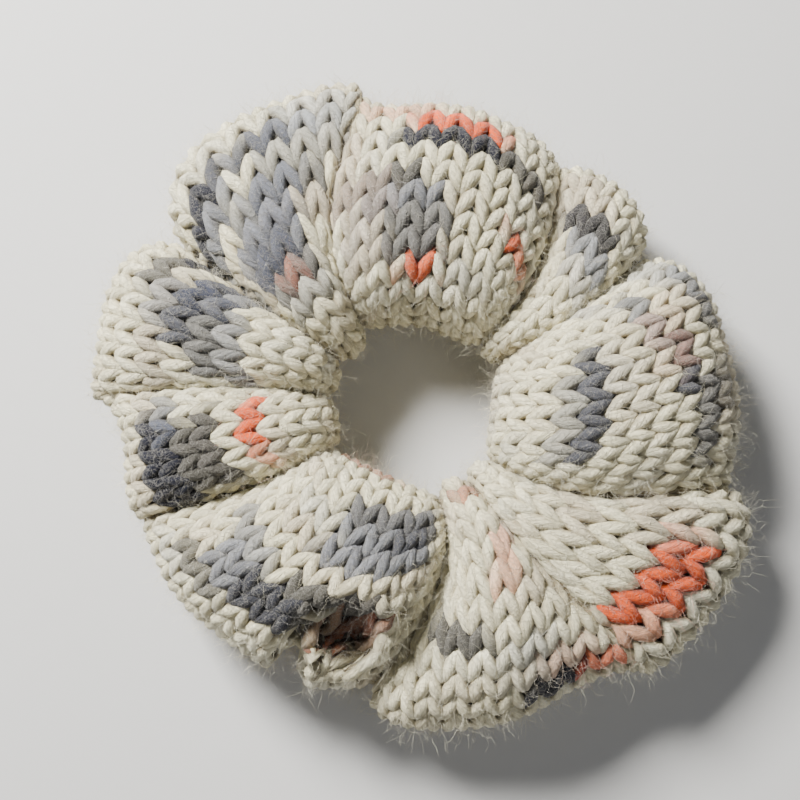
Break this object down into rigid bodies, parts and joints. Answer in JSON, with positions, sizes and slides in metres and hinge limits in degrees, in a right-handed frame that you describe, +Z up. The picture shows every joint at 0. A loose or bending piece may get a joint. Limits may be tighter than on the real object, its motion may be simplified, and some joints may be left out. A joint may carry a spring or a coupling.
{
  "type": "scrunchie",
  "caption": "Knitted wool tube gathered into a ring over an elastic hair tie; the ring stretches open to hold hair.",
  "frame": {"origin": "on the table under the middle of the whole scrunchie, in the hole", "axes": "+Z up out of the table through the hole, +Y towards the broad lobe 1, +X towards the broad lobe 8"},
  "size_m": [0.1112, 0.1106, 0.0255],
  "materials": {
    "wool": "matte, fuzzy plied wool, cream with grey-blue, navy and orange speckles",
    "braid": "matte braided polyester",
    "rubber": "dull natural rubber",
    "joint": "satin"
  },
  "bodies": {
    "lobe_1": {"cover_1": "wool", "tie_braid_1": "braid", "tie_core_1": "rubber", "seam_yarn_1": "wool"},
    "lobe_2": {"cover_2": "wool", "tie_braid_2": "braid", "tie_core_2": "rubber", "seam_yarn_2": "wool"},
    "lobe_3": {"cover_3": "wool", "tie_braid_3": "braid", "tie_core_3": "rubber", "seam_yarn_3": "wool"},
    "lobe_4": {"cover_4": "wool", "tie_braid_4": "braid", "tie_core_4": "rubber", "seam_yarn_4": "wool"},
    "lobe_5_a": {"cover_5_a": "wool", "tie_braid_5_a": "braid", "tie_core_5_a": "rubber", "seam_yarn_5_a": "wool", "tie_joint": "joint"},
    "lobe_5_b": {"cover_5_b": "wool", "tie_braid_5_b": "braid", "tie_core_5_b": "rubber", "seam_yarn_5_b": "wool"},
    "lobe_6": {"cover_6": "wool", "tie_braid_6": "braid", "tie_core_6": "rubber", "seam_yarn_6": "wool"},
    "lobe_7": {"cover_7": "wool", "tie_braid_7": "braid", "tie_core_7": "rubber", "seam_yarn_7": "wool"},
    "lobe_8": {"cover_8": "wool", "tie_braid_8": "braid", "tie_core_8": "rubber", "seam_yarn_8": "wool", "cast_on_tail": "wool", "bind_off_tail": "wool"},
    "lobe_9": {"cover_9": "wool", "tie_braid_9": "braid", "tie_core_9": "rubber", "seam_yarn_9": "wool"}
  },
  "joints": [
    {"name": "stretch", "type": "slide", "parent": "lobe_1", "child": "lobe_2", "axis": [-0.942, -0.3357, 0], "range_m": [0, 0.01934], "stiffness_N_per_m": 60},
    {"name": "spread_3", "type": "slide", "parent": "lobe_2", "child": "lobe_3", "axis": [-0.5053, -0.863, 0], "range_m": [0, 0.00991], "stiffness_N_per_m": 60},
    {"name": "spread_4", "type": "slide", "parent": "lobe_3", "child": "lobe_4", "axis": [-0.0361, -0.9993, 0], "range_m": [0, 0.01112], "stiffness_N_per_m": 60},
    {"name": "spread_5_a", "type": "slide", "parent": "lobe_4", "child": "lobe_5_a", "axis": [0.6372, -0.7707, 0], "range_m": [0, 0.01931], "stiffness_N_per_m": 60},
    {"name": "spread_9", "type": "slide", "parent": "lobe_1", "child": "lobe_9", "axis": [0.8549, -0.5188, 0], "range_m": [0, 0.01759], "stiffness_N_per_m": 60},
    {"name": "spread_8", "type": "slide", "parent": "lobe_9", "child": "lobe_8", "axis": [0.2528, -0.9675, 0], "range_m": [0, 0.01469], "stiffness_N_per_m": 60},
    {"name": "spread_7", "type": "slide", "parent": "lobe_8", "child": "lobe_7", "axis": [-0.4359, -0.9, 0], "range_m": [0, 0.01508], "stiffness_N_per_m": 60},
    {"name": "spread_6", "type": "slide", "parent": "lobe_7", "child": "lobe_6", "axis": [-0.833, -0.5533, 0], "range_m": [0, 0.00751], "stiffness_N_per_m": 60},
    {"name": "spread_5_b", "type": "slide", "parent": "lobe_6", "child": "lobe_5_b", "axis": [-1, 0.0017, 0], "range_m": [0, 0.01726], "stiffness_N_per_m": 60}
  ],
  "couplings": [
    {"joint": "spread_3", "follows": "stretch", "ratio": 0.51167},
    {"joint": "spread_4", "follows": "stretch", "ratio": 0.5746},
    {"joint": "spread_5_a", "follows": "stretch", "ratio": 0.99804},
    {"joint": "spread_9", "follows": "stretch", "ratio": 0.90923},
    {"joint": "spread_8", "follows": "stretch", "ratio": 0.7592},
    {"joint": "spread_7", "follows": "stretch", "ratio": 0.77946},
    {"joint": "spread_6", "follows": "stretch", "ratio": 0.38769},
    {"joint": "spread_5_b", "follows": "stretch", "ratio": 0.89178}
  ]
}
